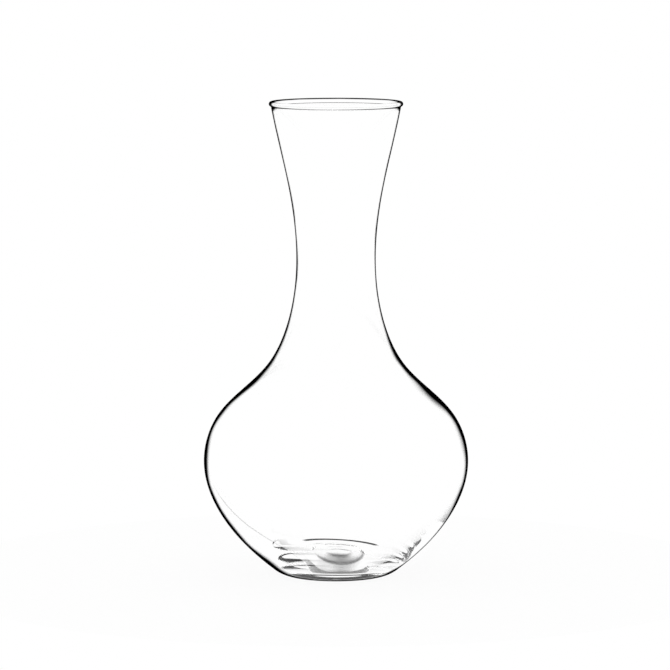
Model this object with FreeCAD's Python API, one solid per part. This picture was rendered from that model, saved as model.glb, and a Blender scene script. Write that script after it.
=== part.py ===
import FreeCAD, Part
import math
import os

# A one-litre-class serving carafe, blown from clear glass in one piece.
# Millimetres, +Z up. The origin is on the axis, in the plane of the table.
# One section is drawn in the XZ plane, X being the radius, and turned about Z.

# Whole vessel
overall_height = 256.5
lip_radius = 36.1            # outermost point of the beaded lip
neck_radius = 21.45          # narrowest outside radius
neck_height = 167.6
belly_radius = 71.5          # widest outside radius
belly_height = 61.0

# Foot: a flat ring to stand on, with a push-up inside it
foot_outer_radius = 24.0
foot_inner_radius = 20.0
foot_inner_edge = 3.0        # rounding between the ring and the push-up
push_up_height = 3.0
heel_radius = 16.0           # rounding between the ring and the lower wall
heel_angle = 37.6            # slope of the wall where that rounding ends

# Lip: a fire-polished bead on the end of the wall
bead_diameter = 2.8
bead_blend = 0.6             # hollow rounding between the bead and the wall
mouth_slope = 79.5           # slope of the flared mouth under the bead

# Outside points between the heel and the belly, the belly and the neck, and the
# neck and the lip: share of the way in or out, and share of the way up
lower_wall_out = 0.727
lower_wall_up = 0.489
upper_belly_in = 0.142
upper_belly_up = 0.235
shoulder_in = 0.455
shoulder_up = 0.388
upper_shoulder_in = 0.697
upper_shoulder_up = 0.505
lower_neck_in = 0.883
lower_neck_up = 0.678
flare_out = 0.272
flare_up = 0.474

# Glass thickness at the same points, square to the outside
mouth_wall = 1.0
neck_wall = 1.0
throat_wall = 1.5
shoulder_wall = 2.2
belly_wall = 1.7
lower_wall = 3.8

# Inside floor, raised in the middle over the push-up
floor_radius = 28.0          # the lowest ring of the inside
floor_height = 7.0           # that ring above the table
floor_rise = 1.5
floor_edge = 4.0             # rounding on the inner side of that ring
corner_radius = 5.0          # rounding between the floor and the wall
corner_angle = 36.0          # slope of the inside wall where it ends

relaxing_rounds = 60         # passes that even out the bend of the outlines


def at(radius, height):
    """Point of the section."""
    return FreeCAD.Vector(radius, 0, height)


def heading(slope):
    """Unit direction outwards and up, at this many degrees from level."""
    return at(math.cos(math.radians(slope)), math.sin(math.radians(slope)))


def arc(centre, radius, start, end):
    """Arc about centre between two angles in degrees, 0 outwards and 90 up."""
    points = [centre + heading(a) * radius for a in (start, (start + end) / 2, end)]
    return Part.Arc(*points)


def dome(radius, height, rise, edge):
    """Two tangent arcs from a level ring up to the middle: a hollow edge, then a cap."""
    slope = 2 * math.degrees(math.atan2(rise, radius))
    cap = radius / math.sin(math.radians(slope)) - edge
    hollow = arc(at(radius, height + edge), edge, 270, 270 - slope)
    crown = arc(at(0, height + rise - cap), cap, 90 - slope, 90)
    return [hollow, crown]


def between(start, end, across, up):
    """Point at a share of the way across and a share of the way up from start to end."""
    return at(start.x + across * (end.x - start.x), start.z + up * (end.z - start.z))


def tangents(points, first_slope, last_slope):
    """Direction of the smooth curve at each point, so that its bend changes evenly there."""
    spans = [(b - a).Length for a, b in zip(points, points[1:])]
    along = [(b - a).normalize() for a, b in zip(points, points[1:])]
    result = [heading(first_slope)] + along[1:] + [heading(last_slope)]
    for _ in range(relaxing_rounds):
        for i in range(1, len(points) - 1):
            before, after = spans[i - 1], spans[i]
            pull = (along[i - 1] * after + along[i] * before) * 3
            held = result[i - 1] * after + result[i + 1] * before
            result[i] = (pull - held) * (0.5 / (before + after))
    return result


def smooth(points, directions):
    """A cubic curve from each point to the next, leaving and arriving in the given directions."""
    curves = []
    for i in range(len(points) - 1):
        third = (points[i + 1] - points[i]).Length / 3
        curve = Part.BezierCurve()
        curve.setPoles([
            points[i],
            points[i] + directions[i] * third,
            points[i + 1] - directions[i + 1] * third,
            points[i + 1],
        ])
        curves.append(curve)
    return curves


def lip_frame():
    """Centre of the bead, and the place on the wall's middle line where its blend starts."""
    bead = bead_diameter / 2
    centre = at(lip_radius - bead, overall_height - bead)
    reach = math.sqrt((bead + bead_blend) ** 2 - (mouth_wall / 2 + bead_blend) ** 2)
    return centre, centre - heading(mouth_slope) * reach


def outside_points():
    """Outside of the wall from the end of the heel up to the blend of the bead."""
    heel = (at(foot_outer_radius, heel_radius)
            + heading(heel_angle - 90) * heel_radius)
    belly = at(belly_radius, belly_height)
    neck = at(neck_radius, neck_height)
    mouth = lip_frame()[1] + heading(mouth_slope - 90) * (mouth_wall / 2)
    return [
        heel,
        between(heel, belly, lower_wall_out, lower_wall_up),
        belly,
        between(belly, neck, upper_belly_in, upper_belly_up),
        between(belly, neck, shoulder_in, shoulder_up),
        between(belly, neck, upper_shoulder_in, upper_shoulder_up),
        between(belly, neck, lower_neck_in, lower_neck_up),
        neck,
        between(neck, mouth, flare_out, flare_up),
        mouth,
    ]


def inside_points(outside, directions):
    """Inside of the wall, from the end of the floor's corner up to the bead."""
    corner = (at(floor_radius, floor_height + corner_radius)
              + heading(corner_angle - 90) * corner_radius)
    walls = [lower_wall, belly_wall, shoulder_wall, shoulder_wall, throat_wall,
             neck_wall, neck_wall, mouth_wall, mouth_wall]
    points = [corner]
    for point, along, wall in zip(outside[1:], directions[1:], walls):
        square = at(-along.z, along.x).normalize()
        points.append(point + square * wall)
    return points


def lip():
    """The bead and its two hollow blends, from the outside of the wall to the inside."""
    bead = bead_diameter / 2
    centre, foot = lip_frame()
    lean = math.degrees(math.atan2(mouth_wall / 2 + bead_blend, (centre - foot).Length))
    out_side = foot + heading(mouth_slope - 90) * (mouth_wall / 2 + bead_blend)
    in_side = foot + heading(mouth_slope + 90) * (mouth_wall / 2 + bead_blend)
    touch = 180 - lean
    return [
        arc(out_side, bead_blend, mouth_slope + 90, mouth_slope + lean),
        arc(centre, bead, mouth_slope - touch, mouth_slope + touch),
        arc(in_side, bead_blend, mouth_slope - lean, mouth_slope - 90),
    ]


def carafe():
    """The whole section, turned once round the axis."""
    outside = outside_points()
    outside_run = tangents(outside, heel_angle, mouth_slope)
    inside = inside_points(outside, outside_run)
    outer = smooth(outside, outside_run)
    inner = smooth(inside, tangents(inside, corner_angle, mouth_slope))
    ring = Part.LineSegment(at(foot_inner_radius, 0), at(foot_outer_radius, 0))
    heel = arc(at(foot_outer_radius, heel_radius), heel_radius, 270, 270 + heel_angle)
    corner = arc(at(floor_radius, floor_height + corner_radius), corner_radius,
                 270, 270 + corner_angle)
    under = dome(foot_inner_radius, 0, push_up_height, foot_inner_edge)
    floor = dome(floor_radius, floor_height, floor_rise, floor_edge)
    axis = Part.LineSegment(at(0, push_up_height), at(0, floor_height + floor_rise))
    curves = under + [ring, heel] + outer + lip() + inner + [corner] + floor + [axis]
    edges = Part.sortEdges([curve.toShape() for curve in curves])[0]
    face = Part.Face(Part.Wire(edges))
    return face.revolve(FreeCAD.Vector(0, 0, 0), FreeCAD.Vector(0, 0, 1), 360)


os.makedirs("parts", exist_ok=True)
shape = carafe()
shape.exportStep("parts/carafe.step")
print("carafe", shape.isValid(), len(shape.Solids), "solid,",
      round(shape.Volume / 1000, 1), "cm3 of glass")
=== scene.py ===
import cmath
import math

import bpy
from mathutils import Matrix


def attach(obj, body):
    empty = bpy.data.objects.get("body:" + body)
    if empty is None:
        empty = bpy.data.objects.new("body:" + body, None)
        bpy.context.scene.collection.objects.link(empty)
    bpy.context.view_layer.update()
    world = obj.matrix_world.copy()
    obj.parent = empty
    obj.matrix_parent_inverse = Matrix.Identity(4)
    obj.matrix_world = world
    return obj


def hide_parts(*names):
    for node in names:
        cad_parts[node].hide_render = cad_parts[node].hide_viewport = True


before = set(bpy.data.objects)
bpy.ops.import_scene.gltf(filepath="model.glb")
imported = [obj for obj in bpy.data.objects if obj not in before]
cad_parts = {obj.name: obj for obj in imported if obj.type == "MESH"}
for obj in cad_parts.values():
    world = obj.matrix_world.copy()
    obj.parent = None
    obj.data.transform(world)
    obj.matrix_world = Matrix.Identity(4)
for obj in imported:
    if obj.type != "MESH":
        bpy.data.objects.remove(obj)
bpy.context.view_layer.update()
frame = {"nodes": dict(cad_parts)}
print("frame loaded:", ", ".join(frame["nodes"]))

millimetre = 0.001                      # the scene is in metres


# The section of the glass, in millimetres and degrees, drawn from the middle of
# the foot, up the outside, over the lip and down the inside to the floor.
carafe = {
    "overallHeight": 256.5,
    "lipRadius": 36.1,
    "neckRadius": 21.45,
    "neckHeight": 167.6,
    "bellyRadius": 71.5,
    "bellyHeight": 61.0,
    "footOuterRadius": 24.0,
    "footInnerRadius": 20.0,
    "footInnerEdge": 3.0,
    "pushUpHeight": 3.0,
    "heelRadius": 16.0,
    "heelAngle": 37.6,
    "beadDiameter": 2.8,
    "beadBlend": 0.6,
    "mouthSlope": 79.5,
    "lowerWall": (0.727, 0.489),        # share of the way across, share of the way up
    "upperBelly": (0.142, 0.235),
    "shoulder": (0.455, 0.388),
    "upperShoulder": (0.697, 0.505),
    "lowerNeck": (0.883, 0.678),
    "flare": (0.272, 0.474),
    "mouthWall": 1.0,
    "neckWall": 1.0,
    "throatWall": 1.5,
    "shoulderWall": 2.2,
    "bellyWall": 1.7,
    "baseWall": 2.8,                    # the solid has 3.8 here
    "floorRadius": 28.0,
    "floorHeight": 7.0,
    "floorRise": 1.5,
    "floorEdge": 4.0,
    "cornerRadius": 5.0,
    "cornerAngle": 36.0,
    "relaxingRounds": 60,               # passes that even out the bend of the outlines
    # Height, and the shift of the hollow to +X there
    "hollowAside": ((8, 1.5), (60, 0.4), (98, -0.5), (150, 0.0)),
    "hollowLean": 1.2,                  # fall of the floor to +X
    "leanFade": 40,                     # height over the floor where that lean has gone
    # Azimuth and height of the middle, size round and up, and how far it stands out
    "bulges": ((-45, 6.0, 9, 3.5, 1.2),),
    "bulgeEnd": 12,                     # squared sizes from the middle to where it is cut off
    "segments": 212,                    # round the axis
    "wallStep": 1.9,                    # mesh spacing along the wall
    "edgeStep": 7.0,                    # degrees of a small arc between two points
    "crownSteps": 14,                   # rows of the low dome of the foot and of the floor
    "samePoint": 0.01,                  # points of the section this close are one
}


# A point of the section is a complex number: radius + height * 1j.
def turned(slope):
    return cmath.rect(1, math.radians(slope))


def arcPoints(centre, radius, start, end, step):
    count = max(2, math.ceil(abs(end - start) / step))
    return [centre + radius * turned(start + (end - start) * i / count)
            for i in range(count + 1)]


# A hollow edge, then a low dome up to the axis.
def domePoints(radius, height, rise, edge):
    slope = 2 * math.degrees(math.atan2(rise, radius))
    cap = radius / math.sin(math.radians(slope)) - edge
    hollowStep = carafe["edgeStep"] / 3
    crownStep = slope / carafe["crownSteps"]
    hollow = arcPoints(complex(radius, height + edge), edge, 270, 270 - slope, hollowStep)
    crown = arcPoints(complex(0, height + rise - cap), cap, 90 - slope, 90, crownStep)
    return hollow + crown


def between(start, end, shares):
    across, up = shares
    return complex(start.real + across * (end.real - start.real),
                   start.imag + up * (end.imag - start.imag))


# Direction of the smooth curve at each point, so that its bend changes evenly there.
def evenDirections(points, firstSlope, lastSlope):
    spans = [abs(b - a) for a, b in zip(points, points[1:])]
    along = [(b - a) / abs(b - a) for a, b in zip(points, points[1:])]
    result = [turned(firstSlope)] + along[1:] + [turned(lastSlope)]
    for _ in range(carafe["relaxingRounds"]):
        for i in range(1, len(points) - 1):
            before, after = spans[i - 1], spans[i]
            pull = 3 * (along[i - 1] * after + along[i] * before)
            held = result[i - 1] * after + result[i + 1] * before
            result[i] = (pull - held) / (2 * (before + after))
    return result


def smoothPoints(points, directions, step):
    result = [points[0]]
    for i in range(len(points) - 1):
        start, end = points[i], points[i + 1]
        span = abs(end - start)
        leave, arrive = directions[i] * span, directions[i + 1] * span
        count = max(2, round(span / step))
        for k in range(1, count + 1):
            t = k / count
            result.append(start * (2 * t**3 - 3 * t**2 + 1) + leave * (t**3 - 2 * t**2 + t)
                          + end * (3 * t**2 - 2 * t**3) + arrive * (t**3 - t**2))
    return result


# Centre of the bead, and the place on the wall's middle line where its blend starts.
def lipFrame():
    bead = carafe["beadDiameter"] / 2
    blend = carafe["beadBlend"]
    centre = complex(carafe["lipRadius"] - bead, carafe["overallHeight"] - bead)
    reach = math.sqrt((bead + blend)**2 - (carafe["mouthWall"] / 2 + blend)**2)
    return centre, centre - turned(carafe["mouthSlope"]) * reach


def outsidePoints():
    heel = (complex(carafe["footOuterRadius"], carafe["heelRadius"])
            + turned(carafe["heelAngle"] - 90) * carafe["heelRadius"])
    belly = complex(carafe["bellyRadius"], carafe["bellyHeight"])
    neck = complex(carafe["neckRadius"], carafe["neckHeight"])
    mouth = lipFrame()[1] + turned(carafe["mouthSlope"] - 90) * carafe["mouthWall"] / 2
    toNeck = ("upperBelly", "shoulder", "upperShoulder", "lowerNeck")
    return ([heel, between(heel, belly, carafe["lowerWall"]), belly]
            + [between(belly, neck, carafe[name]) for name in toNeck]
            + [neck, between(neck, mouth, carafe["flare"]), mouth])


def insidePoints(outside, directions):
    corner = (complex(carafe["floorRadius"], carafe["floorHeight"] + carafe["cornerRadius"])
              + turned(carafe["cornerAngle"] - 90) * carafe["cornerRadius"])
    walls = ("baseWall", "bellyWall", "shoulderWall", "shoulderWall", "throatWall",
             "neckWall", "neckWall", "mouthWall", "mouthWall")
    points = [corner]
    for point, along, wall in zip(outside[1:], directions[1:], walls):
        points.append(point + 1j * along / abs(along) * carafe[wall])
    return points


# The bead and its two hollow blends.
def lipPoints():
    bead, blend = carafe["beadDiameter"] / 2, carafe["beadBlend"]
    half = carafe["mouthWall"] / 2 + blend
    centre, foot = lipFrame()
    slope = carafe["mouthSlope"]
    lean = math.degrees(math.atan2(half, abs(centre - foot)))
    touch = 180 - lean
    step = carafe["edgeStep"]
    blendStep = step * 1.5
    outSide = arcPoints(foot + turned(slope - 90) * half, blend, slope + 90, slope + lean,
                        blendStep)
    over = arcPoints(centre, bead, slope - touch, slope + touch, step)
    inSide = arcPoints(foot + turned(slope + 90) * half, blend, slope - lean, slope - 90,
                       blendStep)
    return outSide + over + inSide


def sectionPoints():
    outside = outsidePoints()
    outsideRun = evenDirections(outside, carafe["heelAngle"], carafe["mouthSlope"])
    inside = insidePoints(outside, outsideRun)
    insideRun = evenDirections(inside, carafe["cornerAngle"], carafe["mouthSlope"])
    step = carafe["wallStep"]
    lowWallStep = step / 3
    baseArcStep = carafe["edgeStep"] / 2
    heelRadius, cornerRadius = carafe["heelRadius"], carafe["cornerRadius"]
    under = domePoints(carafe["footInnerRadius"], 0, carafe["pushUpHeight"],
                       carafe["footInnerEdge"])
    heel = arcPoints(complex(carafe["footOuterRadius"], heelRadius), heelRadius,
                     270, 270 + carafe["heelAngle"], baseArcStep)
    corner = arcPoints(complex(carafe["floorRadius"], carafe["floorHeight"] + cornerRadius),
                       cornerRadius, 270, 270 + carafe["cornerAngle"], baseArcStep)
    floor = domePoints(carafe["floorRadius"], carafe["floorHeight"], carafe["floorRise"],
                       carafe["floorEdge"])
    way = (under[::-1] + heel + smoothPoints(outside, outsideRun, step) + lipPoints()
           + smoothPoints(inside[1:], insideRun[1:], step)[::-1]
           + smoothPoints(inside[:2], insideRun[:2], lowWallStep)[::-1] + corner[::-1] + floor)
    section = [way[0]]
    for point in way[1:]:
        if abs(point - section[-1]) > carafe["samePoint"]:
            section.append(point)
    return section


blownGlass = {
    "colour": "#ffffff",
    "ior": 1.51,
    "roughness": 0.0,
    "specularLevel": 0.5,               # where the glass is clear
    "glint": "#000000",                 # no mirror image of the studio on the face of the glass
    "ripple": 22.0,                     # size of the waves that blowing leaves, in mm
    "rippleDepth": 0.004,               # of the waves, in mm
    "rippleDetail": 1.0,
    "rippleRoughness": 0.4,
    "rippleRange": (0.3, 0.7),          # of the noise, between troughs and crests
    # colour of the painted shade at the glass's edges
    "rim": "#000000",
    "rimSoft": 0.2,                     # share of the rim's reach over which it fades
    "rimUneven": 0.12,                  # share by which the waves change the rim's reach
    "beadPart": 0.64,                   # share of its diameter within which the bead's rim holds
    "edgeMargin": 0.1,                  # past the foot ring and over the floor, in mm
    "middleRims": (0.4, 0.1),           # at the middle of the foot and of the floor
    # The glass is painted dark where it is seen at a grazing angle: painted shade, which stands
    # in for the dark surroundings that clear glass shows at its edges. Each row has a place,
    # then the sine of the angle where that starts, towards +X, +Y, -X and -Y. The numbers were
    # fitted to the photo, which is taken from -Y, so the painted shade differs from side to
    # side. Over
    # 0.74 some of the dark stays when the glass is seen straight on: a little at 0.85, half at
    # most at 0.9, nearly all from 1.15. There it is a painted band. The place on the outside and
    # the inside is the height in mm.
    "outsideRim": (
        (0.3, 0.34, 0.38, 0.42, 0.38),
        (2.5, 0.17, 0.25, 0.34, 0.25),
        (8, 0.10, 0.20, 0.31, 0.20),
        (21, 0.11, 0.16, 0.218, 0.16),
        (30, 0.142, 0.19, 0.24, 0.19),
        (38, 0.205, 0.22, 0.232, 0.22),
        (48, 0.234, 0.23, 0.228, 0.23),
        (75, 0.238, 0.243, 0.248, 0.243),
        (92, 0.283, 0.266, 0.250, 0.266),
        (104, 0.30, 0.284, 0.267, 0.284),
        (118, 0.32, 0.306, 0.293, 0.306),
        (132, 0.268, 0.268, 0.268, 0.268),
        (187, 0.268, 0.268, 0.268, 0.268),
        (250, 0.215, 0.215, 0.215, 0.215),
    ),
    "insideRim": (
        (40, 0.01, 0.01, 0.12, 0.01),
        (52, 0.02, 0.02, 0.02, 0.02),
    ),
    # On the floor the place is the radius in mm. The dark line on the +Y side of the floor's
    # edge is painted shade
    "floorRim": (
        (23.0, 0.01, 0.1, 0.1, 0.1),
        (23.8, 0.01, 0.6, 0.06, 0.1),
        (27.4, 0.01, 0.6, 0.06, 0.1),
        (28.0, 0.01, 0.1, 0.1, 0.1),
    ),
    # Under the foot the place is the radius in mm. The ring stands on the table. The dark here
    # is painted shade, strongest towards -Y, where it is a dark band even seen straight on.
    "underRim": (
        (1, 0.6, 0.3, 0.6, 0.6),
        (5, 0.62, 0.15, 0.6, 0.76),
        (7.4, 0.78, 0.15, 0.66, 0.98),
        (8.6, 0.66, 0.15, 0.6, 0.81),
        (12.2, 0.68, 0.15, 0.6, 0.83),
        (13.6, 0.85, 0.15, 0.7, 1.15),
        (14.8, 0.64, 0.15, 0.6, 0.82),
        (17.5, 0.5, 0.15, 0.6, 0.84),
        (19.0, 0.3, 0.15, 0.4, 0.9),
        (20.0, 0.15, 0.3, 0.5, 1.2),
        (24.1, 0.15, 0.3, 0.5, 1.2),
    ),
    # On the bead of the lip it is the direction from its middle, 0 outwards and 90 up. The dark
    # on the +Y side of the bead's top is painted shade
    "beadRim": (
        (-120, 0.3, 0.02, 0.3, 0.3),
        (-90, 0.3, 0.02, 0.3, 0.6),
        (-50, 0.3, 0.02, 0.3, 0.6),
        (-20, 0.3, 0.02, 0.3, 0.3),
        (30, 0.3, 0.02, 0.3, 0.02),
        (90, 0.2, 0.05, 0.2, 0.02),
        (96, 0.3, 0.05, 0.3, 0.02),
        (101, 0.4, 0.9, 0.4, 0.02),
        (150, 0.3, 0.9, 0.3, 0.02),
        (165, 0.02, 0.02, 0.02, 0.02),
    ),
}


# The hollow was blown a little off the axis of the thick base.
def hollowShift(height):
    stations = carafe["hollowAside"]
    shift = stations[0][1] if height < stations[0][0] else 0.0
    for (low, start), (high, end) in zip(stations, stations[1:]):
        if low <= height < high:
            t = (height - low) / (high - low)
            shift = start + (end - start) * t * t * (3 - 2 * t)
    return shift


# How far the shallow bulges of the outside stand out at this point.
def bulgeHeight(point, across, along):
    result = 0.0
    for azimuth, height, wide, tall, most in carafe["bulges"]:
        aside = (math.degrees(math.atan2(along, across)) - azimuth + 180) % 360 - 180
        away = (math.radians(aside) * point.real / wide)**2 + ((point.imag - height) / tall)**2
        result += most * math.exp(-away) if away < carafe["bulgeEnd"] else 0.0
    return result


def placed(point, across, along, inner):
    radius = point.real if inner else point.real + bulgeHeight(point, across, along)
    x, y, z = radius * across, radius * along, point.imag
    if inner:
        fade = max(0, 1 - (z - carafe["floorHeight"]) / carafe["leanFade"])
        z -= fade * fade * x * math.tan(math.radians(carafe["hollowLean"]))
        x += hollowShift(point.imag)
    return (x * millimetre, y * millimetre, z * millimetre)


# The values between the stops on either side.
def stopValues(stops, x):
    if x <= stops[0][0]:
        return stops[0][1:]
    for low, high in zip(stops, stops[1:]):
        if x < high[0]:
            t = (x - low[0]) / (high[0] - low[0])
            return [a + (b - a) * t for a, b in zip(low[1:], high[1:])]
    return stops[-1][1:]


# How far the painted shade of the dark rim reaches at each point.
def paintedShadeReaches(rows, lip, ring):
    bead = lipFrame()[0]
    beadStart = blownGlass["beadRim"][0][0]
    footEdge = carafe["footOuterRadius"] + blownGlass["edgeMargin"]
    floorTop = carafe["floorHeight"] + carafe["floorRise"] + blownGlass["edgeMargin"]
    result = []
    for i, point in enumerate(rows):
        if abs(point - bead) < blownGlass["beadPart"] * carafe["beadDiameter"]:
            way = math.degrees(cmath.phase(point - bead))
            stops, place = blownGlass["beadRim"], way + 360 if way < beadStart else way
        elif point.real < footEdge and point.imag < carafe["pushUpHeight"]:
            stops, place = blownGlass["underRim"], point.real
        elif i > lip and point.real < carafe["floorRadius"] and point.imag < floorTop:
            stops, place = blownGlass["floorRim"], point.real
        else:
            stops, place = blownGlass["insideRim" if i > lip else "outsideRim"], point.imag
        right, rear, left, front = stopValues(stops, place)
        result += [x * x * (right if x > 0 else left) + y * y * (rear if y > 0 else front)
                   for x, y in ring]
    return result


# The section turned round the axis. The rows after the topmost one are the inside.
def latheMesh(name, section, segments):
    ring = [(math.cos(2 * math.pi * k / segments), math.sin(2 * math.pi * k / segments))
            for k in range(segments)]
    rows = section[1:-1]
    lip = max(range(len(rows)), key=lambda i: rows[i].imag)
    vertices = [placed(p, x, y, i > lip) for i, p in enumerate(rows) for x, y in ring]
    bottom, top = len(vertices), len(vertices) + 1
    vertices += [placed(section[0], 0, 0, False), placed(section[-1], 0, 0, True)]
    faces = []
    last = (len(rows) - 1) * segments
    for k in range(segments):
        n = (k + 1) % segments
        faces.append((bottom, n, k))
        faces.append((top, last + k, last + n))
    for i in range(len(rows) - 1):
        low, high = i * segments, (i + 1) * segments
        for k in range(segments):
            n = (k + 1) % segments
            faces.append((low + k, low + n, high + n, high + k))
    mesh = bpy.data.meshes.new(name)
    mesh.from_pydata(vertices, [], faces)
    mesh.shade_smooth()
    # reach of the painted shade at the glass's edges, kept on each point of the mesh
    reaches = paintedShadeReaches(rows, lip, ring) + list(blownGlass["middleRims"])
    mesh.attributes.new("paintedShadeReach", "FLOAT", "POINT").data.foreach_set("value", reaches)
    mesh.update()
    return mesh


# One node with its settings and its links. A setting is an input by name or a
# property; a link is an output socket.
def addNode(tree, kind, **settings):
    node = tree.nodes.new(kind)
    for name, value in settings.items():
        if name[0] == "_":
            setattr(node, name[1:], value)
            continue
        numbered = name[0] == "i" and name[1:].isdigit()
        socket = node.inputs[int(name[1:]) if numbered else name.replace("_", " ")]
        if isinstance(value, bpy.types.NodeSocket):
            tree.links.new(value, socket)
        else:
            socket.default_value = value
    return node


def linear(hexColour):
    channels = [int(hexColour[i:i + 2], 16) / 255 for i in (1, 3, 5)]
    return [c / 12.92 if c <= 0.04045 else ((c + 0.055) / 1.055)**2.4 for c in channels] + [1]


# Clear blown glass: white light passes straight through, and the walls seen on edge are
# painted black. This black is painted shade, which stands in for the dark surroundings that
# glass shows on edge, and doesn't come from the light.
def blownSodaLimeGlass():
    material = bpy.data.materials.new("blownSodaLimeGlass")
    material.use_nodes = True
    tree = material.node_tree
    tree.nodes.clear()
    where = addNode(tree, "ShaderNodeTexCoord")
    # Slow waves left by the blowing: they bend the view a little and make the painted dark rim
    # uneven
    waves = addNode(tree, "ShaderNodeTexNoise", Vector=where.outputs["Object"],
                    Scale=1000 / blownGlass["ripple"], Detail=blownGlass["rippleDetail"],
                    Roughness=blownGlass["rippleRoughness"])
    surface = addNode(tree, "ShaderNodeBump", Height=waves.outputs["Fac"], Strength=1.0,
                      Distance=blownGlass["rippleDepth"] * millimetre)
    trough, crest = blownGlass["rippleRange"]
    uneven = addNode(tree, "ShaderNodeMapRange", Value=waves.outputs["Fac"],
                     From_Min=trough, From_Max=crest,
                     To_Min=1 - blownGlass["rimUneven"], To_Max=1 + blownGlass["rimUneven"])
    reach = addNode(tree, "ShaderNodeAttribute", _attribute_name="paintedShadeReach")
    wavy = addNode(tree, "ShaderNodeMath", _operation="MULTIPLY", i0=reach.outputs["Fac"],
                   i1=uneven.outputs["Result"])
    facing = addNode(tree, "ShaderNodeLayerWeight", Blend=0.5)
    glancing = addNode(tree, "ShaderNodeMath", _operation="SUBTRACT", i0=1.0,
                       i1=facing.outputs["Facing"])
    share = addNode(tree, "ShaderNodeMath", _operation="DIVIDE", i0=glancing.outputs[0],
                    i1=wavy.outputs[0])
    soft = blownGlass["rimSoft"]
    clear = addNode(tree, "ShaderNodeMapRange", Value=share.outputs[0], From_Min=1 - soft,
                    From_Max=1 + soft, _interpolation_type="SMOOTHSTEP")
    # Painted shade: black where the glass is seen on edge, white where it is clear
    tone = addNode(tree, "ShaderNodeMix", _data_type="RGBA", i0=clear.outputs["Result"],
                   i6=linear(blownGlass["rim"]), i7=linear(blownGlass["colour"]))
    gloss = addNode(tree, "ShaderNodeMath", _operation="MULTIPLY", i0=clear.outputs["Result"],
                    i1=blownGlass["specularLevel"])
    shader = addNode(tree, "ShaderNodeBsdfPrincipled", Base_Color=tone.outputs[2],
                     Transmission_Weight=clear.outputs["Result"], IOR=blownGlass["ior"],
                     Roughness=blownGlass["roughness"],
                     Specular_Tint=linear(blownGlass["glint"]),
                     Specular_IOR_Level=gloss.outputs[0], Normal=surface.outputs["Normal"])
    addNode(tree, "ShaderNodeOutputMaterial", Surface=shader.outputs["BSDF"])
    return material


section = sectionPoints()
mesh = latheMesh("carafeGlass", section, carafe["segments"])
glass = bpy.data.objects.new("carafeGlass", mesh)
bpy.context.collection.objects.link(glass)
mesh.materials.append(blownSodaLimeGlass())
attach(glass, "root")
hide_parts("carafe")
print("carafe turned:", len(section), "section points,", len(mesh.polygons), "faces")


stage = {
    "tableRadius": 0.22,                # in metres
    "tableSegments": 96,
    "table": "#f4f4f4",
    "tableGlow": 0.93,                  # share of the table that shows as pure white
    "background": "#ffffff",
    "bounces": 64,                      # so that light gets through every wall
}

# The photograph's viewing angle. The sensor and the lens are in mm, the rest in metres.
photoView = {
    "sensor": 36,
    "lens": 231.9,
    "place": (0.0, -2.315, 0.3849),
    "lookDown": 6.275,                  # degrees
    "shift": -1 / 670,                  # one pixel of the photograph
    "clipEnd": 50,
}


# Matte white paper: an even white ground without gloss. The camera sees it mostly as
# pure white, and the glass neither mirrors it nor shows it through.
def whiteTable():
    segments = stage["tableSegments"]
    radius = stage["tableRadius"]
    turns = [2 * math.pi * k / segments for k in range(segments)]
    vertices = [(radius * math.cos(turn), radius * math.sin(turn), 0) for turn in turns]
    mesh = bpy.data.meshes.new("table")
    mesh.from_pydata(vertices, [], [tuple(range(segments))])
    table = bpy.data.objects.new("table", mesh)
    bpy.context.collection.objects.link(table)
    material = bpy.data.materials.new("matteWhitePaper")
    material.use_nodes = True
    tree = material.node_tree
    tree.nodes.clear()
    path = addNode(tree, "ShaderNodeLightPath")
    paper = addNode(tree, "ShaderNodeBsdfDiffuse", Color=linear(stage["table"]))
    white = addNode(tree, "ShaderNodeEmission", Strength=1.0)
    share = addNode(tree, "ShaderNodeMath", _operation="MULTIPLY",
                    i0=path.outputs["Is Camera Ray"], i1=stage["tableGlow"])
    mixed = addNode(tree, "ShaderNodeMixShader", i0=share.outputs[0], i1=paper.outputs[0],
                    i2=white.outputs[0])
    addNode(tree, "ShaderNodeOutputMaterial", Surface=mixed.outputs[0])
    mesh.materials.append(material)
    table.visible_transmission = False
    table.visible_glossy = False


# An even white tent of light all round
def studioWorld():
    world = bpy.data.worlds.new("studio")
    bpy.context.scene.world = world
    world.use_nodes = True
    tree = world.node_tree
    tree.nodes.clear()
    background = addNode(tree, "ShaderNodeBackground", Color=linear(stage["background"]),
                         Strength=1.0)
    addNode(tree, "ShaderNodeOutputWorld", Surface=background.outputs[0])


def photoCamera():
    camera = bpy.data.cameras.new("camera")
    camera.sensor_width = photoView["sensor"]
    camera.lens = photoView["lens"]
    camera.shift_x = photoView["shift"]
    camera.clip_end = photoView["clipEnd"]
    holder = bpy.data.objects.new("camera", camera)
    bpy.context.collection.objects.link(holder)
    holder.location = photoView["place"]
    holder.rotation_euler = (math.radians(90 - photoView["lookDown"]), 0, 0)
    bpy.context.scene.camera = holder


whiteTable()
studioWorld()
photoCamera()
scene = bpy.context.scene
scene.view_settings.view_transform = "Standard"
scene.cycles.max_bounces = stage["bounces"]
scene.cycles.glossy_bounces = stage["bounces"]
scene.cycles.transmission_bounces = stage["bounces"]
print("stage set")
